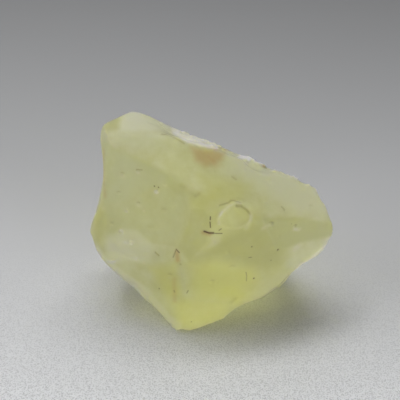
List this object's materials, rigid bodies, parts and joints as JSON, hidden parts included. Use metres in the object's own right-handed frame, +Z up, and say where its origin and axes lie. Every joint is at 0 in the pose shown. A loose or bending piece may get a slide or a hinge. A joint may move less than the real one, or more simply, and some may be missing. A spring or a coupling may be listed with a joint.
{
  "type": "libyan desert glass piece",
  "caption": "Small lump of pale natural glass with broken flat faces, shell-like scoops, worn ridges and a small flat it rests on.",
  "frame": {"origin": "middle of the box's underside, on the surface that the stone rests on", "axes": "+X along the longest side, from the horn to the tip; +Y to the back of the stone; +Z up as it lies"},
  "size_m": [0.0344, 0.0228, 0.0243],
  "materials": {
    "desert_glass": "frosted natural"
  },
  "bodies": {
    "root": {"desert_glass": "desert_glass"}
  },
  "joints": []
}
